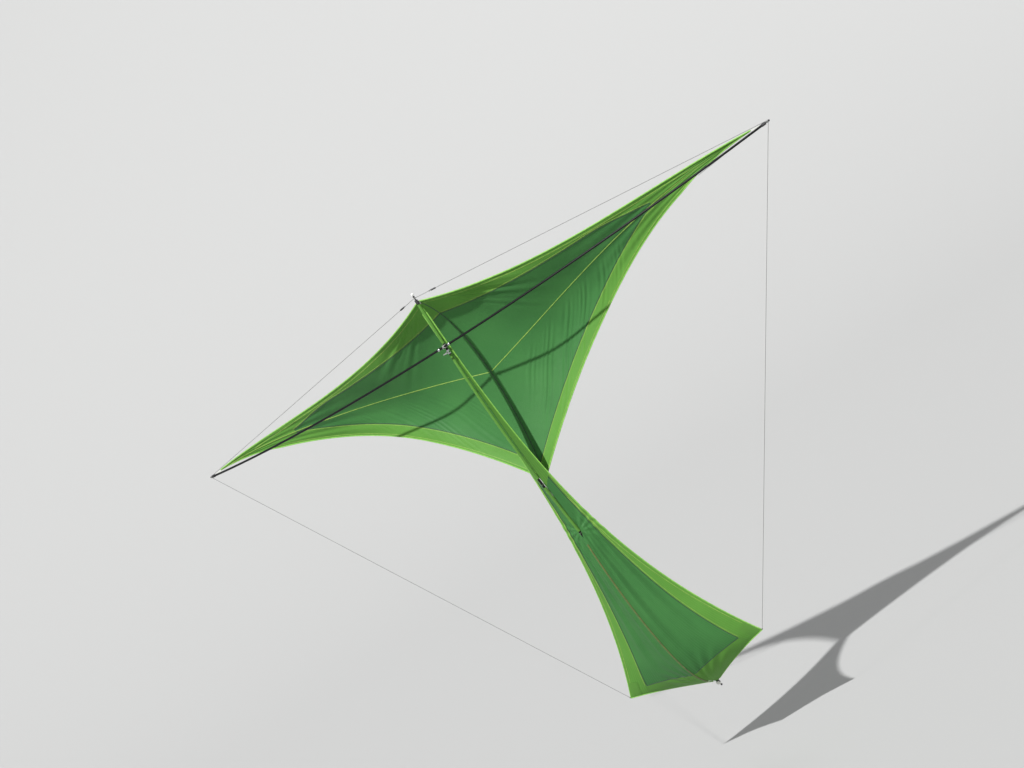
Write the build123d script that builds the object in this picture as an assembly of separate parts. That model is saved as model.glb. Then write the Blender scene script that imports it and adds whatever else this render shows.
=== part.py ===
from build123d import *
import math
import os

# A two-stick kite whose cloth is stretched between a bowed spine, a bowed cross spar and four guy lines.
# The row frame: +Z up the spine to the nose, +X to the right wing tip, +Y leeward, away from the flyer.
# The origin is the centre of the tow ring's bore. Every size is in millimetres.

# Driving dimensions
half_span = 1500.0  # spar tip from the middle
tip_lee = 339.0  # spar tips bow leeward by this
tip_rise = 60.0  # and towards the nose by this
spine_y = 30.0  # spine axis behind the tow ring
cross_gap = 12.0  # spar axis in front of the spine axis
cross_z = 26.0  # the crossing above the tow ring
nose_z = 239.0  # top of the spine
tail_z = -1730.0  # lower end of the spine
tail_lee = 407.0  # the spine's lower end bows leeward by this
spine_r = 5.0
spar_r = 4.5
tube_wall = 1.0
fit_gap = 0.05  # radial clearance of a ferrule in its tube
ferrule_len = 160.0
spine_joint_z = -620.0  # the spine's two tubes meet here
cloth = 1.2  # thickness of the cloth solids
seam_gap = 0.5  # between neighbouring cloth solids
guy_r = 0.9
lead_border_share = 0.10  # the leading border's share of the wing's chord
trail_border = 66.0  # width of the trailing border along the chord
wing_apex = Vector(0, spine_y + 100, cross_z - 660)
crease_rise = 385.0  # how strongly the wing's middle crease stands off leeward
even_rise = 140.0  # the same for the wing's sections further out
lead_sag = Vector(0, 10, -55)
trail_sag = Vector(0, 0, 186)
trail_lee = Vector(0, 92, 0)
panel_end = 0.64  # the wing's dark panels end at this share of the half span
tip_cord_start = 0.78  # a cord leaves the trailing edge here
tip_cord_end = 0.975
tip_cord_lift = Vector(0, 3.2, -1.0)  # clear of the webbing beside its end
tip_cord_gap = 6.0  # the cloth keeps this far from that cord
trail_cloth_end = 0.95
lead_cloth_end = 0.955
seam_share = 0.452  # the radial seam's place between the leading and trailing edge
tail_tip = Vector(339, spine_y + 319, cross_z - 1631)
tail_free_z = cross_z - 904  # the tail sail leaves the spine below this
keel_depth = 195.0  # how strongly the tail's middle seam stands off windward
strip_half = 10.0  # half width of the tail sail's narrow front strip
tail_border_share = 0.75  # the tail's side border starts at this share of the width
strip_end = 0.46  # the strip opens into the tail's panels at this share of the length
clear_half = 7.6  # cloth beside the spine starts this far from the middle
sleeve_r = 7.0
sleeve_bore = 5.4
ring_r = 11.0
bore_r = 6.0
ring_t = 4.0
hinge_y = 17.0
pin_r = 1.5
lash_r = 0.8

right, left = 1, -1
names = {right: "right", left: "left"}
top = Vector(0, spine_y, nose_z)
spine_bow_r = ((tail_z - cross_z) ** 2 + tail_lee**2) / (2 * tail_lee)
spar_bow = math.hypot(tip_lee, tip_rise)
spar_bow_r = (half_span**2 + spar_bow**2) / (2 * spar_bow)
spar_dir = Vector(0, tip_lee, tip_rise) / spar_bow
spar_mid = Vector(0, spine_y - cross_gap, cross_z)
wing_tip = spar_mid + Vector(half_span, tip_lee, tip_rise)


def save(shape, name):
    """One node: a closed solid in its own STEP file."""
    solids = shape.solids()
    part = solids[0] if len(solids) == 1 else Compound(children=solids)
    part.label = name
    export_step(part, f"parts/{name}.step")


def spine_at(z):
    """The spine's axis: straight above the crossing and an arc that bows leeward below it."""
    drop = min(z - cross_z, 0.0)
    return Vector(0, spine_y + spine_bow_r - math.sqrt(spine_bow_r**2 - drop**2), z)


def spar_at(x):
    """The spar's axis, an arc whose tips lie leeward of its middle."""
    rise = spar_bow_r - math.sqrt(spar_bow_r**2 - x**2)
    return spar_mid + Vector(x, 0, 0) + spar_dir * rise


def spine_path(z_from, z_to):
    """The spine's axis between two heights as an edge or two that meet in tangent."""
    if z_from > cross_z > z_to:
        straight = Edge.make_line(spine_at(z_from), spine_at(cross_z))
        return Wire([straight, *spine_path(cross_z, z_to).edges()])
    if z_to >= cross_z:
        return Wire([Edge.make_line(spine_at(z_from), spine_at(z_to))])
    ends = [spine_at(z_from), spine_at((z_from + z_to) / 2), spine_at(z_to)]
    return Wire([Edge.make_three_point_arc(*ends)])


def spar_path(x_from, x_to):
    ends = [spar_at(x_from), spar_at((x_from + x_to) / 2), spar_at(x_to)]
    return Wire([Edge.make_three_point_arc(*ends)])


def tube(path, outer, inner=0.0):
    """A round bar or tube along a path."""
    ring = Circle(outer) - Circle(inner) if inner else Circle(outer)
    return sweep(Plane(origin=path @ 0, z_dir=path % 0) * ring, path=path)


def rod(start, end, radius):
    """A straight round bar from one point to another."""
    way = end - start
    return Plane(origin=start, z_dir=way) * extrude(Circle(radius), way.length)


def smooth(low, high, value):
    """A smooth step from 0 at low to 1 at high."""
    share = min(1.0, max(0.0, (value - low) / (high - low)))
    return share * share * (3 - 2 * share)


def belly(s, t):
    """How far the wind fills the wing leeward: steep behind the nose, evenly rounded further out."""
    steep = crease_rise * s * (1 - s) ** 0.75 / (s + 0.3)
    even = even_rise * max(0.0, math.sin(math.pi * s**1.2)) ** 1.2
    evenness = smooth(0.0, 0.3, t)
    fade = (1 - t) * (1 - 0.95 * smooth(0.12, 0.65, t))
    return (steep * (1 - evenness) + even * evenness) * fade


def wing_at(side, s, t):
    """A point of the wing sail: s from leading to trailing edge, t from the crease to the tip."""
    lead_share = 6.75 * t * (1 - t) ** 2
    trail_share = 4 * t * (1 - t)
    nose_corner = Vector(0, spine_y + 10, nose_z - 8)
    p = (nose_corner + (wing_apex - nose_corner) * s) * (1 - t) + wing_tip * t
    p = p + Vector(0, belly(s, t), 0)
    p = p + lead_sag * ((1 - s) * lead_share) + trail_sag * (s * trail_share)
    p = p + trail_lee * (s * trail_share * (1 - smooth(0.3, 0.8, t)))
    return Vector(side * p.X, p.Y, p.Z)


def chord(t):
    """The wing's length from leading to trailing edge."""
    return (wing_at(right, 1, t) - wing_at(right, 0, t)).length


def lead_seam(t):
    """The seam behind the leading border, which turns inward near the tip."""
    turn_from = 0.46
    return lead_border_share + 0.28 * max(0.0, (t - turn_from) / (panel_end - turn_from)) ** 2


def trail_seam(t):
    """The seam in front of the trailing border."""
    return 1 - min(0.48, trail_border / chord(t))


def tip_edge(t):
    """The trailing edge of the tip's cloth, which runs clear of the tip cord."""
    clear = min(1.0, max(0.0, (t - tip_cord_start + 0.06) / 0.06))
    return 1 - tip_cord_gap * clear / chord(t)


def keel(u):
    """The tail sail's middle line: on the spine down to its last tie, then standing off windward."""
    z = nose_z - 6 + (tail_z + 8 - nose_z + 6) * u
    p = spine_at(z)
    if z < tail_free_z:
        left_over = 1 - (tail_free_z - z) / (tail_free_z - tail_z - 8)
        stand_off = keel_depth * left_over * (1 - left_over) ** 0.9 / (left_over + 0.08)
        p = p - Vector(0, stand_off, 0)
    return p


def tail_edge(u):
    """The tail sail's side edge, from the nose to the tail tip."""
    x = strip_half + (tail_tip.X - strip_half) * u**3.3
    y = spine_y + (tail_tip.Y - spine_y) * u - 240 * u * (1 - u)
    return Vector(x, y, nose_z - 6 + (tail_tip.Z - nose_z + 6) * u)


def tail_at(side, u, v):
    """A point of the tail sail: u from the nose down, v from the middle to the side edge."""
    p = keel(u) * (1 - v) + tail_edge(u) * v + Vector(0, -5, 9) * (4 * v * (1 - v) * u**6)
    return Vector(side * p.X, p.Y, p.Z)


def inner_share(u):
    return clear_half / tail_edge(u).X


def rear_seam(v):
    """Where the tail's rear border starts, further down towards the side."""
    return 0.9525 + 0.034 * v


def cloth_solid(point, rows, columns, push):
    """Cloth through a grid of points, thickened along one direction."""
    grid = [[point(i / (rows - 1), j / (columns - 1)) for j in range(columns)] for i in range(rows)]
    return Solid.extrude(Face.make_surface_from_array_of_points(grid, tol=0.02), push)


def wing_piece(side, s_from, s_to, t_from, t_to):
    """A piece of the wing sail between two lines s(t)."""

    def point(a, b):
        t = t_from + (t_to - t_from) * b
        low = s_from(t) + seam_gap / 2 / chord(t)
        high = s_to(t) - seam_gap / 2 / chord(t)
        return wing_at(side, low + (high - low) * a, t)

    return cloth_solid(point, 9, 13, Vector(0, cloth, 0))


def tail_piece(side, u_from, u_to, v_from, v_to, push, lift=0.0):
    """A piece of the tail sail between lines u(v) and v(u)."""

    def point(a, b):
        guess = v_from(0.9) + (v_to(0.9) - v_from(0.9)) * b
        u = u_from(guess) + (u_to(guess) - u_from(guess)) * a
        v = v_from(u) + (v_to(u) - v_from(u)) * b
        return tail_at(side, u, v) + Vector(0, lift, 0)

    return cloth_solid(point, 13, 7, push)


def make_spine():
    joint = spine_at(spine_joint_z)
    save(tube(spine_path(nose_z, spine_joint_z), spine_r, spine_r - tube_wall), "spine_front_tube")
    save(tube(spine_path(spine_joint_z, tail_z), spine_r, spine_r - tube_wall), "spine_rear_tube")
    inside = spine_r - tube_wall - fit_gap
    half = ferrule_len / 2
    save(tube(spine_path(joint.Z + half, joint.Z - half), inside), "spine_ferrule")


def make_spar():
    end = half_span - 6
    for side in (right, left):
        path = spar_path(0, side * end)
        save(tube(path, spar_r, spar_r - tube_wall), f"spar_{names[side]}_tube")
    inside = spar_r - tube_wall - fit_gap
    save(tube(spar_path(-ferrule_len / 2, ferrule_len / 2), inside), "spar_ferrule")


def lash_loop(turn, reach):
    """A cord loop round both tubes where they cross, in a plane on the diagonal."""
    half_wide = 8.8
    front = spine_y - cross_gap - spar_r - 1.5 - reach
    back = spine_y + spine_r + 1.6 + reach
    middle = (front + back) / 2
    along = back - front - 2 * half_wide
    frame = Plane(origin=(0, middle, cross_z), x_dir=(0, 1, 0), z_dir=(turn, 0, 1))
    outline = (frame * SlotCenterToCenter(along, 2 * half_wide)).face().outer_wire()
    return sweep(Plane(origin=outline @ 0, z_dir=outline % 0) * Circle(lash_r), path=outline)


def make_crossing():
    """The moulded saddle that keeps the two tubes apart, and its two lashings."""
    saddle = Pos(0, spine_y - 6.25, cross_z) * Box(10, 7, 10)
    saddle -= Pos(0, spine_y, cross_z) * Cylinder(spine_r + fit_gap, 40)
    saddle -= Pos(0, spine_y - cross_gap, cross_z) * Rot(0, 90, 0) * Cylinder(spar_r + fit_gap, 40)
    save(saddle, "cross_saddle")
    save(lash_loop(1, 0.0), "cross_lashing_inner")
    save(lash_loop(-1, 2.4), "cross_lashing_outer")


def make_tow():
    """The clamp on the spine, its hinge pin and the ring that the flying line goes through."""
    clamp_r = 7.2
    ear_in, ear_out = 3.9, 7.0
    spine_here = spine_at(0).Y
    lug = Pos(0, spine_here, 0) * Cylinder(clamp_r, 16)
    for side in (right, left):
        x = side * (ear_in + ear_out) / 2
        wide = ear_out - ear_in
        lug += Pos(x, (hinge_y + spine_y) / 2, 0) * Box(wide, spine_y - hinge_y, 8)
        lug += Pos(x, hinge_y, 0) * Rot(0, 90, 0) * Cylinder(4, wide)
    lug -= Pos(0, spine_here, 0) * Cylinder(spine_r + 2 * fit_gap, 40)
    lug -= Pos(0, hinge_y, 0) * Rot(0, 90, 0) * Cylinder(pin_r, 40)
    save(lug, "tow_lug")
    save(Pos(0, hinge_y, 0) * Rot(0, 90, 0) * Cylinder(pin_r, 2 * ear_out), "tow_pin")
    ring = Cylinder(ring_r, ring_t) + Pos(0, hinge_y / 2 + 4, 0) * Box(6, hinge_y - 8, ring_t)
    ring += Pos(0, hinge_y, 0) * Rot(0, 90, 0) * Cylinder(3.6, 7)
    ring -= Cylinder(bore_r, 20)
    ring -= Pos(0, hinge_y, 0) * Rot(0, 90, 0) * Cylinder(pin_r + fit_gap, 20)
    save(ring, "tow_ring")


def nock(end, way, bar, name):
    """A moulded cap on a tube's end, with a grooved neck for the lines."""
    frame = Plane(origin=end, z_dir=way)
    cap = frame * Pos(0, 0, -8) * Cylinder(bar + 1.6, 18)
    cap -= frame * Pos(0, 0, -12) * Cylinder(bar + fit_gap, 24)
    cap += frame * Pos(0, 0, 7.5) * Cylinder(2.6, 15)
    cap += frame * Pos(0, 0, 16) * Sphere(4.2)
    save(cap, name)


def make_nocks():
    nock(top, Vector(0, 0, 1), spine_r, "nose_nock")
    nock(spine_at(tail_z), spine_path(spine_joint_z, tail_z) % 1, spine_r, "tail_nock")
    for side in (right, left):
        end = side * (half_span - 6)
        nock(spar_at(end), spar_path(0, end) % 1, spar_r, f"spar_{names[side]}_nock")
    bead = Plane(origin=top + Vector(0, 0, 26), z_dir=(0, 0, 1)) * (Sphere(5.5) - Cylinder(1.2, 20))
    save(bead, "nose_bead")


def make_guys():
    """Four thin lines: nose to each spar tip, and each spar tip to the tail tip below it."""
    for side in (right, left):
        tube_end = side * (half_span - 6)
        neck = spar_at(tube_end) + (spar_path(0, tube_end) % 1) * 11
        start = top + Vector(side * 3.7, 0, 9)
        end = neck + Vector(0, 2.7, 3.2)
        save(rod(start, end, guy_r), f"guy_nose_{names[side]}")
        way = (end - start).normalized()
        seat = start + way * 70
        slider = rod(seat, seat + way * 22, 3.2) - rod(start, end, guy_r + fit_gap)
        save(slider, f"line_slider_{names[side]}")
        corner = Vector(side * (tail_tip.X + 2), tail_tip.Y, tail_tip.Z + 3)
        save(rod(neck + Vector(0, 0, -4.2), corner, guy_r), f"guy_tail_{names[side]}")


def make_wing():
    """The wing sail: dark panels inside a pale border, in two halves that meet at the crease."""
    centre = 0.0004
    for side in (right, left):
        n = names[side]
        start, end = lambda t: 0.0, lambda t: 1.0
        middle = lambda t: seam_share
        save(wing_piece(side, start, lead_seam, centre, panel_end), f"wing_leading_border_{n}")
        save(wing_piece(side, lead_seam, middle, centre, panel_end), f"wing_front_panel_{n}")
        save(wing_piece(side, middle, trail_seam, centre, panel_end), f"wing_rear_panel_{n}")
        save(wing_piece(side, trail_seam, end, centre, panel_end), f"wing_trailing_border_{n}")
        tip_start = panel_end + 0.001
        save(wing_piece(side, start, middle, tip_start, lead_cloth_end), f"wing_leading_tip_{n}")
        save(wing_piece(side, middle, tip_edge, tip_start, trail_cloth_end), f"wing_trailing_tip_{n}")
        a = wing_at(side, 1, tip_cord_start)
        b = wing_at(side, 1, tip_cord_end) + tip_cord_lift
        save(rod(a + (b - a).normalized() * 2, b, guy_r), f"wing_tip_cord_{n}")
        a = wing_at(side, 0.4, lead_cloth_end + 0.001) + Vector(0, cloth / 2, -1)
        web = Plane(origin=a, x_dir=(0, 0, 1), z_dir=wing_at(side, 0.4, 1) - a)
        long = 0.98 * wing_tip.X - abs(a.X)
        save(web * Pos(0, 0, long / 2) * Box(8, 2, long), f"wing_tip_webbing_{n}")


def make_tail():
    """The tail sail: a narrow strip down the spine that opens into a four-cornered sail."""
    for side in (right, left):
        n = names[side]
        edge, border = lambda u: 1.0, lambda u: tail_border_share
        inner_border = lambda u: tail_border_share + seam_gap / tail_edge(u).X
        outer_panel = lambda u: tail_border_share - seam_gap / tail_edge(u).X
        seam = lambda v: rear_seam(v) - 0.0004
        low, high = lambda v: strip_end + 0.0004, lambda v: 1.0
        thick_y = Vector(0, cloth, 0)
        thick_x = Vector(side * cloth, 0, 0)
        strip = tail_piece(side, lambda v: 0.02, lambda v: strip_end, inner_share, edge, thick_x)
        save(strip, f"tail_strip_{n}")
        save(tail_piece(side, low, seam, inner_share, outer_panel, thick_y), f"tail_panel_{n}")
        save(tail_piece(side, low, high, inner_border, edge, thick_y), f"tail_side_border_{n}")
        rear = tail_piece(side, lambda v: rear_seam(v) + 0.0004, high, inner_share, outer_panel, thick_y)
        save(rear, f"tail_rear_border_{n}")
        inside, outside = lambda u: 0.88, lambda u: 0.995
        tab = tail_piece(side, lambda v: 0.97, lambda v: 0.999, inside, outside, -thick_y, -0.2)
        save(tab, f"tail_corner_tab_{n}")


def make_middle():
    """The sleeves round the spine, the seam tape, the ties and the middle corners."""
    spans = {"front": (nose_z - 20, cross_z + 12), "middle": (-12, -612), "rear": (-656, tail_free_z)}
    for name, (z_from, z_to) in spans.items():
        save(tube(spine_path(z_from, z_to), sleeve_r, sleeve_bore), f"spine_sleeve_{name}")
    tape_half = clear_half - 0.4
    u_from, u_to = 0.605, 0.985

    def tape(a, b):
        return keel(u_from + (u_to - u_from) * a) + Vector(tape_half * (2 * b - 1), -0.2, 0)

    save(cloth_solid(tape, 17, 3, Vector(0, cloth, 0)), "tail_seam_tape")
    tie_z = tail_free_z - 9
    save(tie_loop(tie_z, 6.4, 1.3, 0), "tail_sail_tie")
    reach = wing_apex.Y - spine_at(wing_apex.Z).Y
    save(tie_loop(wing_apex.Z - 8, 6.3, 1.1, reach + 9), "wing_apex_tie")
    tongue = Pos(0, wing_apex.Y + 1, wing_apex.Z - 7) * Box(8, 2, 11)
    save(tongue, "wing_apex_tab")
    nose_tab = Pos(0, spine_y + 8.1, nose_z - 17) * Box(14, 2, 12)
    save(nose_tab, "nose_corner_tab")
    way = spine_path(spine_joint_z, tail_z) % 1
    lower_end = Plane(origin=spine_at(tail_z), x_dir=(1, 0, 0), z_dir=way)
    save(lower_end * Pos(0, spine_r + 3.6, -4) * Box(15, 2.4, 16), "tail_rear_tab")


def tie_loop(z, half_wide, radius, back):
    """A cord loop round the spine at a height, reaching back behind it."""
    middle = spine_at(z)
    front = middle.Y - half_wide
    rear = middle.Y + max(half_wide, back)
    frame = Plane(origin=(0, (front + rear) / 2, z), x_dir=(0, 1, 0), z_dir=(0, 0, 1))
    along = max(rear - front - 2 * half_wide, 0.5)
    outline = (frame * SlotCenterToCenter(along, 2 * half_wide)).face().outer_wire()
    return sweep(Plane(origin=outline @ 0, z_dir=outline % 0) * Circle(radius), path=outline)


os.makedirs("parts", exist_ok=True)
make_spine()
make_spar()
make_crossing()
make_tow()
make_nocks()
make_guys()
make_wing()
make_tail()
make_middle()
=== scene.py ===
import math
import bpy
from mathutils import Matrix, Vector


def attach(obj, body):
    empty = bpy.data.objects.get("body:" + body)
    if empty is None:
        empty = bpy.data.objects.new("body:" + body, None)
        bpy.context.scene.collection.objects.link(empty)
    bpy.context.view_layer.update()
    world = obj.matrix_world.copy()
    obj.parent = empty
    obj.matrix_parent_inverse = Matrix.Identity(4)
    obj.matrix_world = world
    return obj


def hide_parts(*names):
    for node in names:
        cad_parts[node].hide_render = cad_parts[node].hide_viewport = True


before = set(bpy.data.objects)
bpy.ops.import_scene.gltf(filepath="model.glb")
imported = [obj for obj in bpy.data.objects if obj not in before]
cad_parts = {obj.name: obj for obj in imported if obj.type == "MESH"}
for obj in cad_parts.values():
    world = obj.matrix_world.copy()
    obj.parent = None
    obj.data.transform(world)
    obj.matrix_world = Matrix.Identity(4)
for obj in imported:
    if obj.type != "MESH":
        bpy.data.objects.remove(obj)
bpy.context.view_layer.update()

# The camera stands low on the windward side, off towards the right wing tip, and is rolled so that the
# spine runs from upper left to lower right.
camera_data = bpy.data.cameras.new("camera")
camera_data.lens = 91.4
camera = bpy.data.objects.new("camera", camera_data)
bpy.context.scene.collection.objects.link(camera)
bpy.context.scene.camera = camera
look = Vector((-0.4787, 0.8773, -0.0338)).normalized()
lens_up = Vector((0.4603, 0.2835, 0.8413))
lens_right = look.cross(lens_up).normalized()
lens_up = lens_right.cross(look)
camera.matrix_world = Matrix.Translation((4.997, -8.836, 0.104)) @ Matrix(
    (lens_right, lens_up, -look)
).transposed().to_4x4()


# The sticks set every other place: a spine that is straight above the crossing and bows leeward below it,
# and a cross spar whose tips bow leeward and a little towards the nose.
nose_z = 0.239
tail_z = -1.730
cross_z = 0.026
spine_y = 0.030
spine_bow = 0.407
half_span = 1.5
tip_bow = Vector((0, 0.339, 0.060))
spine_bow_radius = ((tail_z - cross_z) ** 2 + spine_bow**2) / (2 * spine_bow)
spar_bow_radius = (half_span**2 + tip_bow.length**2) / (2 * tip_bow.length)
spar_gap = 0.012  # between the two tubes' middles at the crossing
spar_middle = Vector((0, spine_y - spar_gap, cross_z))
wing_tip = spar_middle + Vector((half_span, 0, 0)) + tip_bow
sides = {"right": 1, "left": -1}


def spine_at(z):
    drop = min(z - cross_z, 0.0)
    return Vector((0, spine_y + spine_bow_radius - math.sqrt(spine_bow_radius**2 - drop**2), z))


def spar_at(x):
    rise = spar_bow_radius - math.sqrt(spar_bow_radius**2 - x**2)
    return spar_middle + Vector((x, 0, 0)) + tip_bow.normalized() * rise


def finish_of(name, colour, roughness, **sockets):
    """A new material, its node tree and its Principled node, with other sockets set by name."""
    made = bpy.data.materials.new(name)
    made.use_nodes = True
    nodes = made.node_tree.nodes
    shader = nodes["Principled BSDF"]
    shader.inputs["Base Color"].default_value = (*colour, 1)
    shader.inputs["Roughness"].default_value = roughness
    for socket, value in sockets.items():
        shader.inputs[socket.replace("_", " ")].default_value = value
    made.diffuse_color = (*colour, 1)
    return made, made.node_tree, shader


def joined(tree, kind, inputs=None, **settings):
    """A node of a kind, with its settings, and its inputs set or linked by name or number."""
    node = tree.nodes.new(kind)
    for key, value in settings.items():
        setattr(node, key, value)
    for key, value in (inputs or {}).items():
        if isinstance(value, bpy.types.NodeSocket):
            tree.links.new(value, node.inputs[key])
        else:
            node.inputs[key].default_value = value
    return node


def mottled(tree, shader, where, scale, dark, light, detail=4.0):
    """Uneven colour between two shades, laid over the surface by a noise; the noise and its ramp."""
    noise = joined(tree, "ShaderNodeTexNoise", {"Vector": where, "Scale": scale, "Detail": detail})
    ramp = joined(tree, "ShaderNodeValToRGB", {"Fac": noise.outputs["Fac"]})
    ramp.color_ramp.elements[0].position = 0.35
    ramp.color_ramp.elements[0].color = (*dark, 1)
    ramp.color_ramp.elements[1].position = 0.65
    ramp.color_ramp.elements[1].color = (*light, 1)
    tree.links.new(ramp.outputs["Color"], shader.inputs["Base Color"])
    return noise, ramp


def raised(tree, shader, height, strength, distance, under=None):
    """A bump on the shader from a height, over another bump if there is one."""
    inputs = {"Height": height, "Strength": strength, "Distance": distance}
    if under:
        inputs["Normal"] = under.outputs["Normal"]
    bump = joined(tree, "ShaderNodeBump", inputs)
    tree.links.new(bump.outputs["Normal"], shader.inputs["Normal"])
    return bump


def cover(node, material):
    """Gives a CAD node its finish."""
    mesh = bpy.data.objects[node].data
    mesh.materials.clear()
    mesh.materials.append(material)


def pultruded(name, stretch):
    """Black pultruded carbon: fine streaks along the tube under a thin gloss of resin."""
    made, tree, shader = finish_of(name, (0.006, 0.007, 0.007), 0.42, Specular_IOR_Level=0.16)
    where = joined(tree, "ShaderNodeTexCoord").outputs["Object"]
    stretched = joined(tree, "ShaderNodeMapping", {"Vector": where, "Scale": stretch})
    streaks, _ = mottled(
        tree, shader, stretched.outputs["Vector"], 1.0, (0.003, 0.004, 0.004), (0.012, 0.013, 0.013)
    )
    raised(tree, shader, streaks.outputs["Fac"], 0.25, 0.0002)
    return made


spine_carbon = pultruded("spine_carbon", (900, 900, 6))
spar_carbon = pultruded("spar_carbon", (6, 900, 900))
for node in ("spine_front_tube", "spine_rear_tube"):
    cover(node, spine_carbon)
for node in ("spar_right_tube", "spar_left_tube"):
    cover(node, spar_carbon)
rod_black, tree, shader = finish_of("ferrule_rod", (0.03, 0.03, 0.03), 0.45)
where = joined(tree, "ShaderNodeTexCoord").outputs["Object"]
mottled(tree, shader, where, 500, (0.02, 0.02, 0.02), (0.05, 0.05, 0.05))
for node in ("spine_ferrule", "spar_ferrule"):
    cover(node, rod_black)


# Two aluminium collars are pinched on the spar beside the crossing and keep it from sliding sideways.
# Each is a short ring of tube, turned and chamfered.
def deselected():
    for other in bpy.context.selected_objects:
        other.select_set(False)


def placed(piece, name, material):
    """Puts a finished piece's place in its mesh, names it, and fixes it to the kite."""
    deselected()
    bpy.context.view_layer.objects.active = piece
    piece.select_set(True)
    bpy.ops.object.transform_apply(location=True, rotation=True, scale=True)
    piece.name = name
    piece.data.materials.clear()
    piece.data.materials.append(material)
    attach(piece, "kite")


def turned_aluminium():
    made, tree, shader = finish_of("turned_aluminium", (0.62, 0.63, 0.65), 0.32, Metallic=1.0)
    where = joined(tree, "ShaderNodeTexCoord").outputs["Object"]
    rings = joined(tree, "ShaderNodeTexNoise", {"Vector": where, "Scale": 1800, "Detail": 2.0})
    raised(tree, shader, rings.outputs["Fac"], 0.15, 0.0001)
    return made


aluminium = turned_aluminium()
collar_out = 0.0062
collar_bore = 0.0047
collar_long = 0.009
collar_off = 0.026  # from the crossing
for side_name, side in sides.items():
    here = spar_at(side * collar_off)
    deselected()
    bpy.ops.mesh.primitive_cylinder_add(
        vertices=48, radius=collar_out, depth=collar_long, location=here, rotation=(0, math.pi / 2, 0)
    )
    collar = bpy.context.object
    bpy.ops.object.mode_set(mode="EDIT")
    bpy.ops.mesh.select_mode(type="FACE")
    bpy.ops.mesh.select_all(action="DESELECT")
    bpy.ops.object.mode_set(mode="OBJECT")
    for face in collar.data.polygons:
        face.select = abs(face.normal.z) > 0.9
    bpy.ops.object.mode_set(mode="EDIT")
    bpy.ops.mesh.inset(thickness=collar_out - collar_bore)
    bpy.ops.mesh.bridge_edge_loops()
    bpy.ops.object.mode_set(mode="OBJECT")
    bevel = collar.modifiers.new("chamfer", "BEVEL")
    bevel.width = 0.0006
    bevel.segments = 2
    bpy.ops.object.modifier_apply(modifier="chamfer")
    bpy.ops.object.shade_smooth_by_angle(angle=math.radians(35))
    placed(collar, f"spar_collar_{side_name}", aluminium)


# The crossing: a moulded black saddle keeps the tubes apart and two white braided loops lash them
# together, one along each diagonal.
def moulded(name, colour):
    """Moulded nylon with a fine eggshell grain and a few scuffs."""
    made, tree, shader = finish_of(name, colour, 0.5)
    where = joined(tree, "ShaderNodeTexCoord").outputs["Object"]
    lighter = [min(1, c * 1.4 + 0.012) for c in colour]
    mottled(tree, shader, where, 160, colour, lighter)
    grain = joined(tree, "ShaderNodeTexNoise", {"Vector": where, "Scale": 2600, "Detail": 3.0})
    raised(tree, shader, grain.outputs["Fac"], 0.3, 0.00015)
    return made


def braided(name, colour, pitch):
    """Braided cord: crossing diagonal strands as a fine diamond relief."""
    made, tree, shader = finish_of(name, colour, 0.75, Sheen_Weight=0.4)
    where = joined(tree, "ShaderNodeTexCoord").outputs["Object"]
    darker = [c * 0.72 for c in colour]
    mottled(tree, shader, where, 240, darker, colour)
    strands = []
    for turn in (0.8, -0.8):
        turned = joined(tree, "ShaderNodeMapping", {"Vector": where, "Rotation": (turn, turn, 0.4)})
        wave = joined(
            tree,
            "ShaderNodeTexWave",
            {"Vector": turned.outputs["Vector"], "Scale": 1 / pitch, "Distortion": 1.5},
        )
        strands.append(wave.outputs["Fac"])
    both = joined(tree, "ShaderNodeMath", {0: strands[0], 1: strands[1]}, operation="MULTIPLY")
    raised(tree, shader, both.outputs["Value"], 0.8, 0.0004)
    return made


black_nylon = moulded("black_nylon", (0.018, 0.018, 0.019))
white_nylon = moulded("white_nylon", (0.72, 0.72, 0.69))
lashing_cord = braided("lashing_cord", (0.80, 0.80, 0.76), 0.004)
cover("cross_saddle", black_nylon)
for node in ("cross_lashing_inner", "cross_lashing_outer"):
    cover(node, lashing_cord)


# The tow point: an aluminium clamp on the spine with two ears, a steel pin, and the steel ring that the
# flying line is clipped to. The ring swings up and down on the pin.
steel, tree, shader = finish_of("polished_steel", (0.66, 0.66, 0.66), 0.24, Metallic=1.0)
where = joined(tree, "ShaderNodeTexCoord").outputs["Object"]
scratches = joined(tree, "ShaderNodeTexNoise", {"Vector": where, "Scale": 900, "Detail": 6.0})
raised(tree, shader, scratches.outputs["Fac"], 0.12, 0.0001)
cover("tow_ring", steel)
cover("tow_pin", steel)
cover("tow_lug", aluminium)
pin_head = 0.0026
pin_end = Vector((0.0071, 0.017, 0))
for side_name, side in sides.items():
    deselected()
    bpy.ops.mesh.primitive_uv_sphere_add(
        segments=32, ring_count=16, radius=pin_head, location=(side * pin_end.x, pin_end.y, pin_end.z)
    )
    head = bpy.context.object
    head.scale = (0.45, 1, 1)
    bpy.ops.object.shade_smooth()
    placed(head, f"tow_pin_head_{side_name}", steel)


# Moulded caps close the tubes' ends. Each has a neck for the lines and a ball that keeps them on, and a
# white bead sits above the nose.
for node in ("nose_nock", "tail_nock", "spar_right_nock", "spar_left_nock"):
    cover(node, black_nylon)
cover("nose_bead", white_nylon)
for node in ("line_slider_right", "line_slider_left"):
    cover(node, black_nylon)


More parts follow.
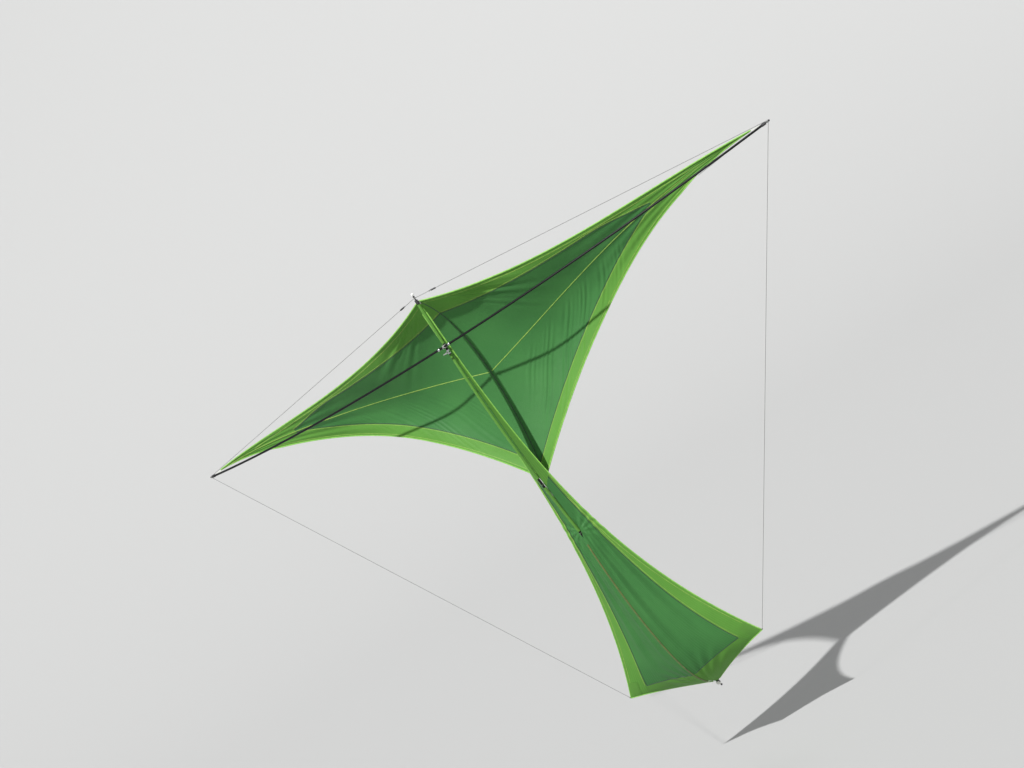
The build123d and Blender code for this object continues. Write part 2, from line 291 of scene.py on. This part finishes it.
# Four guy lines of thin pale braid hold the kite in tension: nose to each wing tip, and each wing tip to
# the tail tip below it. They are pulled tight, so they are straight.
guy_line = braided("guy_line", (0.17, 0.175, 0.165), 0.0035)
guy_thick = 0.0018
tail_tip = Vector((0.339, spine_y + 0.319, cross_z - 1.631))
nose_neck = Vector((0, spine_y, nose_z + 0.009))
spar_end = spar_at(half_span - 0.006)
spar_way = (spar_end - spar_at(half_span - 0.012)).normalized()
tip_neck = spar_end + spar_way * 0.011
nose_guy_start = nose_neck + Vector((0.0037, 0, 0))
nose_guy_end = tip_neck + Vector((0, 0.0027, 0.0032))
tail_guy_start = tip_neck + Vector((0, 0, -0.0042))
tail_guy_end = tail_tip + Vector((0.002, 0, 0.003))


def taut_line(name, start, end, node):
    """A line pulled straight between its ends, as one smooth spline."""
    points = [start, (start + end) / 2, end]
    curve = bpy.data.curves.new(name, "CURVE")
    curve.dimensions = "3D"
    curve.bevel_depth = guy_thick / 2
    curve.bevel_resolution = 4
    curve.resolution_u = 6
    curve.use_fill_caps = True
    spline = curve.splines.new("NURBS")
    spline.points.add(len(points) - 1)
    for control, at in zip(spline.points, points):
        control.co = (*at, 1)
    spline.order_u = 3
    spline.use_endpoint_u = True
    line = bpy.data.objects.new(name, curve)
    bpy.context.scene.collection.objects.link(line)
    curve.materials.append(guy_line)
    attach(line, "kite")
    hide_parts(node)
    length = sum((b - a).length for a, b in zip(points, points[1:]))


def mirrored(at, side):
    return Vector((side * at.x, at.y, at.z))


for side_name, side in sides.items():
    start = mirrored(nose_guy_start, side)
    end = mirrored(nose_guy_end, side)
    taut_line(f"nose_guy_{side_name}", start, end, f"guy_nose_{side_name}")
    start = mirrored(tail_guy_start, side)
    end = mirrored(tail_guy_end, side)
    taut_line(f"tail_guy_{side_name}", start, end, f"guy_tail_{side_name}")


# The wing sail is cut from coated ripstop: dark green panels inside a wide pale border. It is stretched
# between the nose, the two wing tips and an apex tied to the spine, and the wind fills it leeward.
wing_apex = Vector((0, spine_y + 0.100, cross_z - 0.660))
lead_sag = Vector((0, 0.010, -0.055))
trail_sag = Vector((0, 0, 0.186))
trail_lee = Vector((0, 0.092, 0))
seam_share = 0.452
panel_end = 0.64
lead_cloth_end = 0.955
trail_cloth_end = 0.95
tip_cord_start = 0.78
tip_cord_end = 0.975
nose_fill = 0.385
even_fill = 0.140
lead_border_share = 0.10
trail_border = 0.066
tip_cord_gap = 0.006


def smooth(low, high, value):
    """Rises from 0 to 1 between two values, level at both ends."""
    share = min(1.0, max(0.0, (value - low) / (high - low)))
    return share * share * (3 - 2 * share)


def belly(s, t):
    """How far the wind fills the wing leeward: steep behind the nose, evenly rounded further out."""
    steep = nose_fill * s * max(0.0, 1 - s) ** 0.75 / (s + 0.3)
    even = even_fill * max(0.0, math.sin(math.pi * s**1.2)) ** 1.2
    evenness = smooth(0.0, 0.3, t)
    fade = (1 - t) * (1 - 0.95 * smooth(0.12, 0.65, t))
    return (steep * (1 - evenness) + even * evenness) * fade


def wing_at(side, s, t):
    """A point of the wing: s from leading to trailing edge, t from the crease to the tip."""
    nose_corner = Vector((0, spine_y + 0.010, nose_z - 0.008))
    at = nose_corner.lerp(wing_apex, s).lerp(wing_tip, t) + Vector((0, belly(s, t), 0))
    at += lead_sag * ((1 - s) * 6.75 * t * (1 - t) ** 2)
    at += trail_sag * (s * 4 * t * (1 - t))
    at += trail_lee * (s * 4 * t * (1 - t) * (1 - smooth(0.3, 0.8, t)))
    return mirrored(at, side)


def chord(t):
    """The wing's straight width at t."""
    return (wing_at(1, 1, t) - wing_at(1, 0, t)).length


def lead_seam(t):
    return lead_border_share + 0.28 * max(0.0, (t - 0.46) / (panel_end - 0.46)) ** 2


def trail_seam(t):
    return 1 - min(0.48, trail_border / chord(t))


def tip_edge(t):
    """The trailing edge, which draws in beside the tip cord."""
    drawn_in = min(1.0, max(0.0, (t - tip_cord_start + 0.06) / 0.06))
    return 1 - tip_cord_gap * drawn_in / chord(t)


def wing_wrinkles(side, s, t, at):
    """Creases that fan from the nose, and tension wrinkles in front of the trailing border."""
    x, drop = abs(at.x), nose_z - at.z
    far = math.hypot(x, drop)
    angle = math.atan2(drop, x + 0.001)
    fan = math.sin(angle * 43 + side * 1.7) + 0.6 * math.sin(angle * 71 + side)
    fan *= 0.0024 * smooth(0.05, 0.16, far) * (1 - smooth(0.26, 0.55, far))
    fan *= 1 - smooth(0.45, 0.85, angle)
    across = x * 0.82 - at.z * 0.57
    pleat = math.sin(across * 300 + side * 2 + 2.4 * math.sin(across * 43) + 1.4 * math.sin(at.z * 21))
    pleat *= 0.55 + 0.45 * math.sin(across * 83 + side + 5 * at.z)
    pleat *= (0.0013 + 0.0007 * side) * smooth(0.48, 0.64, s) * (1 - 0.55 * smooth(0.80, 1, s))
    pleat *= smooth(0.03, 0.12, t) * (1 - smooth(0.40, 0.62, t))
    lengthwise = 0.0014 * math.sin(s * 34 + side + 4 * t)
    lengthwise *= smooth(0.30, 0.55, t) * (1 - smooth(0.85, 0.95, t))
    return Vector((0, fan + pleat + lengthwise, 0))


def sewn_cloth(name, point, rows, columns, material, slot, thick=0.0005):
    """Cloth through a grid of points, with its flat measure as its UV map; its area and flat size."""
    grid = [[point(i / (rows - 1), j / (columns - 1)) for j in range(columns)] for i in range(rows)]
    along = [0.0]
    for j in range(1, columns):
        along.append(along[-1] + (grid[rows // 2][j] - grid[rows // 2][j - 1]).length)
    faces = []
    flat = []
    down = [[0.0] * columns]
    for i in range(1, rows):
        down.append([down[-1][j] + (grid[i][j] - grid[i - 1][j]).length for j in range(columns)])
    middle = [down[rows // 2][j] for j in range(columns)]
    for i in range(rows - 1):
        for j in range(columns - 1):
            corners = ((i, j), (i + 1, j), (i + 1, j + 1), (i, j + 1))
            faces.append([a * columns + b for a, b in corners])
            flat += [(along[b], down[a][b] - middle[b]) for a, b in corners]
    mesh = bpy.data.meshes.new(name)
    mesh.from_pydata([at for row in grid for at in row], [], faces)
    laid = mesh.uv_layers.new(name="cut")
    for corner, at in zip(laid.data, flat):
        corner.uv = at
    piece = bpy.data.objects.new(name, mesh)
    bpy.context.scene.collection.objects.link(piece)
    mesh.materials.append(material)
    deselected()
    bpy.context.view_layer.objects.active = piece
    piece.select_set(True)
    area = sum(face.area for face in mesh.polygons)
    bpy.ops.object.mode_set(mode="EDIT")
    bpy.ops.mesh.select_all(action="SELECT")
    bpy.ops.mesh.normals_make_consistent(inside=False)
    bpy.ops.object.mode_set(mode="OBJECT")
    solid = piece.modifiers.new("cloth", "SOLIDIFY")
    solid.thickness = thick
    solid.offset = 0
    bpy.ops.object.modifier_apply(modifier="cloth")
    bpy.ops.object.shade_smooth_by_angle(angle=math.radians(60))
    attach(piece, "kite")
    return piece, area, (max(down[-1]), along[-1])


def declared(node):
    """Hides the CAD piece that a piece of cloth stands in for."""
    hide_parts(node)


grid_half = 0.0025
see_through = 0.36


def ripstop(name, dark, light, glow, thread):
    """Coated ripstop: a fine square grid of thicker threads, slightly uneven dye, a soft sheen, and some
    of the light behind it coming through."""
    made, tree, shader = finish_of(name, light, 0.5, Sheen_Weight=0.06, Sheen_Roughness=0.4)
    shader.inputs["Specular IOR Level"].default_value = 0.22
    coordinates = joined(tree, "ShaderNodeTexCoord")
    where, cut = coordinates.outputs["Object"], coordinates.outputs["UV"]
    _, dye = mottled(tree, shader, where, 5.0, dark, light, 6.0)
    split = joined(tree, "ShaderNodeSeparateXYZ", {"Vector": cut})
    lines = []
    for axis in ("X", "Y"):
        folded = joined(tree, "ShaderNodeMath", {0: split.outputs[axis], 1: grid_half}, operation="PINGPONG")
        line = joined(
            tree,
            "ShaderNodeMapRange",
            {"Value": folded.outputs["Value"], 1: 0.0002, 2: 0.0006, 3: 1.0, 4: 0.0},
        )
        lines.append(line.outputs["Result"])
    grid = joined(tree, "ShaderNodeMath", {0: lines[0], 1: lines[1]}, operation="MAXIMUM").outputs["Value"]
    dyed = joined(
        tree, "ShaderNodeMix", {"Factor": grid, 6: dye.outputs["Color"], 7: (*thread, 1)}, data_type="RGBA"
    )
    tree.links.new(dyed.outputs[2], shader.inputs["Base Color"])
    crumple = joined(tree, "ShaderNodeTexNoise", {"Vector": where, "Scale": 26.0, "Detail": 7.0})
    low = raised(tree, shader, crumple.outputs["Fac"], 0.35, 0.004)
    raised(tree, shader, grid, 0.35, 0.0002, low)
    behind = joined(tree, "ShaderNodeBsdfTranslucent", {"Color": (*glow, 1)})
    mix = joined(tree, "ShaderNodeMixShader", {0: see_through, 1: shader.outputs[0], 2: behind.outputs[0]})
    tree.links.new(mix.outputs[0], tree.nodes["Material Output"].inputs["Surface"])
    return made


dark_ripstop = ripstop(
    "dark_green_ripstop",
    dark=(0.048, 0.185, 0.048),
    light=(0.066, 0.235, 0.060),
    glow=(0.08, 0.32, 0.06),
    thread=(0.09, 0.28, 0.09),
)
pale_ripstop = ripstop(
    "pale_green_ripstop",
    dark=(0.098, 0.275, 0.042),
    light=(0.130, 0.345, 0.054),
    glow=(0.18, 0.48, 0.05),
    thread=(0.18, 0.40, 0.08),
)


def wing_cloth(side_name, name, node, kind, s_from, s_to, t_from, t_to, rows, columns):
    """A piece of the wing between two lines s(t), wrinkled and cut with its seam allowance."""
    side = sides[side_name]
    material, slot, lift = cloths[kind]

    def point(a, b):
        t = t_from + (t_to - t_from) * b
        s = s_from(t) + (s_to(t) - s_from(t)) * a
        at = wing_at(side, s, t)
        return at + wing_wrinkles(side, s, t, at) + Vector((0, lift, 0))

    made = sewn_cloth(f"{name}_{side_name}", point, rows, columns, material, slot)
    declared(f"{node}_{side_name}")


lap = 0.005  # seam allowance


def panel_front(t):
    return lead_seam(t) - lap / chord(t)


def panel_rear(t):
    return trail_seam(t) + lap / chord(t)


def level(share):
    """A line that keeps the same share of the width or the length."""
    return lambda other: share


wing_front = level(0.0)
wing_rear = level(1.0)
middle_seam = level(seam_share)
cloths = {"dark": (dark_ripstop, "panel_cloth", 0.0006), "pale": (pale_ripstop, "border_cloth", 0.0)}
wing_plan = {
    "front_panel": ("wing_front_panel", "dark", panel_front, middle_seam, 0.0, panel_end, 80, 240),
    "rear_panel": ("wing_rear_panel", "dark", middle_seam, panel_rear, 0.0, panel_end, 110, 260),
    "leading_border": ("wing_leading_border", "pale", wing_front, lead_seam, 0.0, panel_end, 24, 200),
    "trailing_border": ("wing_trailing_border", "pale", trail_seam, wing_rear, 0.0, panel_end, 24, 200),
    "leading_tip": ("wing_leading_tip", "pale", wing_front, middle_seam, panel_end, lead_cloth_end, 16, 100),
    "trailing_tip": ("wing_trailing_tip", "pale", middle_seam, tip_edge, panel_end, trail_cloth_end, 16, 100),
}
for side_name in sides:
    for name, cut in wing_plan.items():
        wing_cloth(side_name, name, *cut)


# Seams are folded bands of cloth with two rows of stitches: dark ones round the panels and down the crease,
# where the dark is painted shade, fine pale ones out to each tip, and a hem rolled over along every outer
# edge, painted brighter than the border as a highlight.
def stitched(name, dark, light, half_width):
    """Folded seam cloth with two rows of stitches along it."""
    made, tree, shader = finish_of(name, light, 0.55, Sheen_Weight=0.15)
    coordinates = joined(tree, "ShaderNodeTexCoord")
    mottled(tree, shader, coordinates.outputs["Object"], 90, dark, light)
    split = joined(tree, "ShaderNodeSeparateXYZ", {"Vector": coordinates.outputs["UV"]})
    off = joined(tree, "ShaderNodeMath", {0: split.outputs["Y"]}, operation="ABSOLUTE")
    row_off = half_width * 0.55
    row = joined(
        tree, "ShaderNodeMath", {0: off.outputs["Value"], 1: row_off, 2: 0.0004}, operation="COMPARE"
    )
    dash = joined(tree, "ShaderNodeMath", {0: split.outputs["X"], 1: 0.0016}, operation="PINGPONG")
    gap = joined(tree, "ShaderNodeMath", {0: dash.outputs["Value"], 1: 0.0005}, operation="GREATER_THAN")
    stitch = joined(
        tree, "ShaderNodeMath", {0: row.outputs["Value"], 1: gap.outputs["Value"]}, operation="MULTIPLY"
    )
    raised(tree, shader, stitch.outputs["Value"], 0.7, 0.0004)
    return made


pale_seam = stitched("pale_seam", (0.20, 0.36, 0.05), (0.30, 0.48, 0.07), 0.0015)
dark_seam = stitched("dark_seam", (0.012, 0.060, 0.016), (0.020, 0.085, 0.022), 0.0020)
# The hem is the border's lime cloth; its lighter, brighter colour is a painted highlight along the rolled
# edges.
hem_cloth_painted_highlight = stitched("hem_cloth_painted_highlight", (0.16, 0.40, 0.05), (0.24, 0.52, 0.07), 0.0030)


lead_hem = 0.0027
rear_hem = 0.0022


def band(name, line, across, half_width, samples, material, thick=0.0014):
    """A narrow band sewn along a line on the cloth: line(b) is its middle, across(b) its direction."""

    def point(a, b):
        return line(b) + across(b).normalized() * (half_width * (2 * a - 1))

    tape, _, _ = sewn_cloth(name, point, 4, samples, material, "seam_tape", thick)
    return tape


def rolled_hem(name, line, radius, samples):
    """The outer edge, rolled over a cord into a round hem."""

    def point(a, b):
        way = line(min(1.0, b + 0.002)) - line(max(0.0, b - 0.002))
        out = way.cross(Vector((0, 1, 0))).normalized()
        over = out.cross(way).normalized()
        turn = 2 * math.pi * a
        return line(b) + (out * math.cos(turn) + over * math.sin(turn)) * radius

    sewn_cloth(name, point, 13, samples, hem_cloth_painted_highlight, "border_cloth", 0.0003)


def on_wing(side, s_line, t_from, t_to):
    """The line s(t) on the wing and the direction across it."""

    def at(b):
        t = t_from + (t_to - t_from) * b
        here = wing_at(side, s_line(t), t)
        return here + wing_wrinkles(side, s_line(t), t, here)

    def across(b):
        t = t_from + (t_to - t_from) * b
        s = s_line(t)
        return wing_at(side, min(1.0, s + 0.01), t) - wing_at(side, max(0.0, s - 0.01), t)

    return at, across


def beside(s_line, offset):
    """A line at a distance from another, measured along the chord."""
    return lambda t: s_line(t) + offset / chord(t)


for side_name, side in sides.items():
    runs = {
        "radial_seam": (middle_seam, 0.004, 0.93, 0.0014, pale_seam),
        "leading_seam": (lead_seam, 0.0, panel_end, 0.0020, dark_seam),
        "leading_stitching": (beside(lead_seam, -0.006), 0.0, panel_end, 0.0009, pale_seam),
        "trailing_seam": (trail_seam, 0.0, panel_end, 0.0020, dark_seam),
        "trailing_stitching": (beside(trail_seam, 0.006), 0.0, panel_end, 0.0009, pale_seam),
        "leading_hem_seam": (beside(wing_front, 0.014), 0.0, 0.80, 0.0012, pale_seam),
        "trailing_hem_seam": (beside(wing_rear, -0.010), 0.0, 0.76, 0.0010, pale_seam),
    }
    for run_name, (s_line, t_from, t_to, half_width, material) in runs.items():
        line, across = on_wing(side, s_line, t_from, t_to)
        band(f"{run_name}_{side_name}", line, across, half_width, 220, material)
    line, _ = on_wing(side, wing_front, 0.002, lead_cloth_end)
    rolled_hem(f"leading_hem_{side_name}", line, lead_hem, 220)
    line, _ = on_wing(side, tip_edge, 0.002, trail_cloth_end)
    rolled_hem(f"trailing_hem_{side_name}", line, rear_hem, 220)


def crease_line(b):
    return wing_at(1, 0.012 + 0.972 * b, 0.0)


# The crease seam takes the dark seam colour as painted shade, standing in for the shadow along the crease.
band("crease_seam", crease_line, lambda b: Vector((1, 0, 0)), 0.0018, 160, dark_seam, 0.0018)


# The tail sail starts as a narrow strip folded over the spine, passes in front of the wing's apex, and
# opens into a four-cornered sail whose middle seam stands off windward.
tail_free_z = cross_z - 0.904
tail_rise = 0.195
tail_hollow = 0.240
nose_half = 0.010
clear_half = 0.0050
border_part = 0.75
strip_end = 0.46
tail_top = nose_z - 0.006
tail_end = tail_z + 0.008


def stand_off(z):
    """How far the tail's middle seam stands in front of the spine."""
    if z >= tail_free_z:
        return 0.0
    over = 1 - (tail_free_z - z) / (tail_free_z - tail_end)
    return tail_rise * over * (1 - over) ** 0.9 / (over + 0.08)


def keel(u):
    """The tail sail's middle line, from the nose down."""
    z = tail_top + (tail_end - tail_top) * u
    return spine_at(z) - Vector((0, stand_off(z), 0))


def tail_edge(u):
    """The tail sail's right edge."""
    x = nose_half + (tail_tip.x - nose_half) * u**3.3
    y = spine_y + (tail_tip.y - spine_y) * u - tail_hollow * u * (1 - u)
    return Vector((x, y, tail_top + (tail_tip.z - tail_top) * u))


def tail_at(side, u, v):
    """A point of the tail sail: u from the nose down, v from the middle to the side edge."""
    at = keel(u).lerp(tail_edge(u), v) + Vector((0, -0.005, 0.009)) * (4 * v * (1 - v) * u**6)
    return mirrored(at, side)


def tail_wrinkles(side, u, v, at):
    """Creases that radiate from the last tie and from the tail's end, and long soft folds between."""
    far = math.hypot(at.x, at.z - tail_free_z)
    angle = math.atan2(at.z - tail_free_z, abs(at.x) + 0.001)
    star = 0.0018 * math.sin(angle * 11 + side)
    star *= smooth(0.006, 0.03, far) * (1 - smooth(0.06, 0.17, far))
    fold = math.sin(v * 17 + side * 0.8 + 2.2 * math.sin(u * 9)) + 0.5 * math.sin(v * 33 + u * 14)
    fold *= 0.0036 * smooth(0.52, 0.64, u) * (1 - smooth(0.86, 0.96, u)) * smooth(0.03, 0.2, v)
    fold *= 1 - smooth(0.7, 0.95, v)
    far = math.hypot(at.x, at.z - tail_z)
    angle = math.atan2(at.z - tail_z, abs(at.x) + 0.001)
    rays = 0.0020 * math.sin(angle * 26 + side)
    rays *= smooth(0.02, 0.07, far) * (1 - smooth(0.14, 0.26, far))
    return Vector((0, star + fold + rays, 0))


def inner_part(u):
    """Where the cloth starts beside the spine; past the last tie the two halves meet on the seam."""
    z = tail_top + (tail_end - tail_top) * u
    open_half = clear_half * (1 - smooth(0.004, 0.012, stand_off(z)))
    if u > 0.97:
        open_half = clear_half * smooth(0.97, 0.995, u)
    return open_half / tail_edge(u).x


def rear_seam(v):
    """The seam in front of the tail's rear border."""
    return 0.9525 + 0.034 * v


def tail_cloth(side_name, name, node, kind, u_from, u_to, v_from, v_to, rows, columns):
    """A piece of the tail sail between two lines u(v) and two lines v(u)."""
    side = sides[side_name]
    material, slot, lift = cloths[kind]

    def point(a, b):
        guess = v_from(0.9) + (v_to(0.9) - v_from(0.9)) * b
        u = u_from(guess) + (u_to(guess) - u_from(guess)) * a
        v = v_from(u) + (v_to(u) - v_from(u)) * b
        at = tail_at(side, u, v)
        return at + tail_wrinkles(side, u, v, at) + Vector((0, lift, 0))

    made = sewn_cloth(f"{name}_{side_name}", point, rows, columns, material, slot)
    declared(f"{node}_{side_name}")


def lapped(u):
    return border_part + 0.004 / tail_edge(u).x


tail_plan = {
    "strip": ("tail_strip", "pale", level(0.02), level(strip_end), inner_part, level(1.0), 240, 10),
    "tail_panel_cloth": ("tail_panel", "dark", level(strip_end), rear_seam, inner_part, lapped, 260, 70),
    "side_border": (
        "tail_side_border", "pale", level(strip_end), level(1.0), level(border_part), level(1.0), 260, 24
    ),
    "rear_border": ("tail_rear_border", "pale", rear_seam, level(1.0), inner_part, lapped, 30, 70),
}
for side_name in sides:
    for name, cut in tail_plan.items():
        tail_cloth(side_name, name, *cut)


def on_tail(side, u_line, v_line):
    """A line on the tail sail, u(b) and v(b)."""

    def at(b):
        here = tail_at(side, u_line(b), v_line(b))
        return here + tail_wrinkles(side, u_line(b), v_line(b), here)

    return at


def mixed(low, high):
    """A line that runs evenly from one share to another."""
    return lambda b: low + (high - low) * b


def inside(u_line, share, offset):
    """A share of the width, moved in or out by a distance."""
    return lambda b: share + offset / tail_edge(u_line(b)).x


for side_name, side in sides.items():
    sideways = level(Vector((side, 0, 0)))
    downward = level(Vector((0, 0.6, -1)))
    down_panel = mixed(strip_end, 0.976)
    down_edge = mixed(0.52, 0.985)
    over = mixed(0.03, border_part)
    runs = {
        "side_seam": (down_panel, level(border_part), 0.0020, dark_seam, sideways),
        "side_stitching": (down_panel, inside(down_panel, border_part, 0.006), 0.0009, pale_seam, sideways),
        "side_hem_seam": (down_edge, inside(down_edge, 1.0, -0.010), 0.0010, pale_seam, sideways),
        "rear_seam_band": (lambda b: rear_seam(over(b)), over, 0.0020, dark_seam, downward),
    }
    for run_name, (u_line, v_line, half_width, material, way) in runs.items():
        band(f"{run_name}_{side_name}", on_tail(side, u_line, v_line), way, half_width, 220, material)
    down_side = mixed(0.03, 0.998)
    rolled_hem(f"side_hem_{side_name}", on_tail(side, down_side, level(1.0)), rear_hem, 240)
    rolled_hem(f"rear_hem_{side_name}", on_tail(side, level(1.0), mixed(0.05, 0.998)), rear_hem, 160)


def keel_line(b):
    return keel(0.60 + 0.385 * b) + Vector((0, -0.0004, 0))


keel_seam = stitched("keel_seam", (0.07, 0.10, 0.018), (0.12, 0.15, 0.025), 0.0028)
tape = band("keel_tape", keel_line, level(Vector((1, 0, 0))), 0.0028, 240, keel_seam, 0.0022)
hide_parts("tail_seam_tape")


# The spine runs in a sleeve of pale cloth folded round it and stitched behind, in three lengths. The
# gaps between them leave the bare tube at the crossing and at the wing's apex.
sleeve_radius = 0.0063


def sleeve_cloth(name, z_from, z_to, node):
    steps = max(24, round((z_from - z_to) / 0.006))
    round_points = 33

    def point(a, b):
        z = z_from + (z_to - z_from) * b
        turn = 2 * math.pi * a
        pinch = 0.0004 * math.sin(z * 310 + 2 * math.sin(turn)) + 0.0003 * math.sin(z * 171 + turn * 2)
        hem = 0.0004 * (1 - smooth(0, 0.012, min(z_from - z, z - z_to)))
        radius = sleeve_radius + pinch + hem
        return spine_at(z) + Vector((radius * math.sin(turn), 0.0002 - radius * math.cos(turn) * 1.02, 0))

    sleeve, _, _ = sewn_cloth(name, point, round_points, steps, pale_ripstop, "border_cloth", 0.0004)
    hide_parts(node)


sleeve_cloth("front_sleeve", nose_z - 0.020, cross_z + 0.012, "spine_sleeve_front")
sleeve_cloth("middle_sleeve", -0.012, -0.612, "spine_sleeve_middle")
sleeve_cloth("rear_sleeve", -0.656, tail_free_z, "spine_sleeve_rear")


# Corners are reinforced with patches of doubled cloth and tabs of white webbing, which the lines and
# the nocks pull on.
def woven(name, colour):
    """Plain-woven webbing: a fine basket relief."""
    made, tree, shader = finish_of(name, colour, 0.8, Sheen_Weight=0.35)
    where = joined(tree, "ShaderNodeTexCoord").outputs["Object"]
    mottled(tree, shader, where, 300, [c * 0.8 for c in colour], colour)
    weave = joined(tree, "ShaderNodeTexVoronoi", {"Vector": where, "Scale": 900, "Randomness": 0.15})
    raised(tree, shader, weave.outputs["Distance"], 0.6, 0.0004)
    return made


white_webbing = woven("white_webbing", (0.70, 0.71, 0.66))


def patch_on_tail(side, name, lift):
    """Doubled cloth over the sail's corner, on its front or, with a positive lift, on its back."""

    def point(a, b):
        return tail_at(side, 0.965 + 0.0335 * a, 0.86 + 0.135 * b) + Vector((0, lift, 0))

    patch, _, _ = sewn_cloth(name, point, 12, 12, pale_ripstop, "border_cloth", 0.0006)
    return patch


for side_name, side in sides.items():
    patch = patch_on_tail(side, f"tail_corner_patch_{side_name}", -0.0012)
    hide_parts(f"tail_corner_tab_{side_name}")
    patch_on_tail(side, f"tail_corner_patch_back_{side_name}", 0.0012)
    cover(f"wing_tip_webbing_{side_name}", white_webbing)
for node in ("wing_apex_tab", "nose_corner_tab", "tail_rear_tab"):
    cover(node, white_webbing)
green_cord = braided("green_cord", (0.05, 0.11, 0.03), 0.003)
for node in ("tail_sail_tie", "wing_apex_tie"):
    cover(node, green_cord)


# From the end of the trailing border a thin cord of the same braid runs on to each wing tip, where it
# passes behind the webbing.
tip_cord_lift = Vector((0, 0.0032, -0.0010))
for side_name, side in sides.items():
    start = wing_at(side, 1, tip_cord_start)
    end = wing_at(side, 1, tip_cord_end) + tip_cord_lift
    start = start + (end - start).normalized() * 0.002
    taut_line(f"tip_cord_{side_name}", start, end, f"wing_tip_cord_{side_name}")


# Where a line meets a neck or a corner it is tied in a small knot, three close turns of the same braid.
round_neck = 0.0036
round_line = 0.0016
slider_stop = 0.064  # along the nose guy line


def knot(name, centre, way, radius, turns):
    deselected()
    made = []
    for turn in range(turns):
        spot = centre + way * ((turn - (turns - 1) / 2) * guy_thick * 0.95)
        bpy.ops.mesh.primitive_torus_add(
            major_segments=32,
            minor_segments=10,
            major_radius=radius,
            minor_radius=guy_thick / 2,
            location=spot,
            rotation=way.to_track_quat("Z", "Y").to_euler(),
        )
        made.append(bpy.context.object)
    for ring in made:
        ring.select_set(True)
    bpy.context.view_layer.objects.active = made[0]
    bpy.ops.object.join()
    bpy.ops.object.shade_smooth()
    placed(bpy.context.object, name, guy_line)


knot("nose_line_turns", nose_neck, Vector((0, 0, 1)), round_neck, 3)
for side_name, side in sides.items():
    neck = mirrored(tip_neck, side)
    way = mirrored(spar_way, side)
    knot(f"tip_line_turns_{side_name}", neck - way * 0.002, way, round_neck, 4)
    corner = mirrored(tail_guy_end, side)
    knot(f"tail_tip_knot_{side_name}", corner, (neck - corner).normalized(), round_line, 3)
    start = mirrored(nose_guy_start, side)
    out = (mirrored(nose_guy_end, side) - start).normalized()
    knot(f"slider_stop_{side_name}", start + out * slider_stop, out, round_line, 3)


# The floor is plain and pale, and far out it curves up all round, so that the tilted camera sees no
# horizon. A hard light falls from the front and above, along the kite's middle plane.
floor_z = -2.05
flat_reach = 12.5
curve = 36.0
steepest = math.radians(60)
count = 96
steps = 24
points = [(0.0, 0.0, floor_z)]
for step in range(steps + 1):
    angle = steepest * step / steps
    radius = flat_reach + curve * math.sin(angle)
    height = floor_z + curve * (1 - math.cos(angle))
    for k in range(count):
        turn = 2 * math.pi * k / count
        points.append((radius * math.cos(turn), radius * math.sin(turn), height))
faces = [(0, 1 + k, 1 + (k + 1) % count) for k in range(count)]
for step in range(steps):
    for k in range(count):
        a = 1 + step * count + k
        b = 1 + step * count + (k + 1) % count
        faces.append((a, a + count, b + count, b))
mesh = bpy.data.meshes.new("floor")
mesh.from_pydata(points, [], faces)
floor = bpy.data.objects.new("floor", mesh)
bpy.context.scene.collection.objects.link(floor)
mesh.shade_smooth()
pale, _, _ = finish_of("pale_floor", (0.42, 0.42, 0.415), 0.9)
mesh.materials.append(pale)

world = bpy.data.worlds.new("room")
bpy.context.scene.world = world
world.use_nodes = True
world.node_tree.nodes["Background"].inputs["Color"].default_value = (0.86, 0.88, 0.90, 1)
world.node_tree.nodes["Background"].inputs["Strength"].default_value = 0.38


def even_light(name, way, power, spread):
    """Parallel light along a direction, its shadows as soft as its spread in degrees."""
    data = bpy.data.lights.new(name, "SUN")
    data.energy = power
    data.angle = math.radians(spread)
    lamp = bpy.data.objects.new(name, data)
    bpy.context.scene.collection.objects.link(lamp)
    lamp.rotation_mode = "QUATERNION"
    lamp.rotation_quaternion = Vector(way).to_track_quat("-Z", "Y")


even_light("key", (0.0, 6.62, -6.37), 4.6, 1.4)
even_light("back", (0.0, -6.0, -4.0), 0.9, 50)
bpy.context.scene.view_settings.view_transform = "Standard"
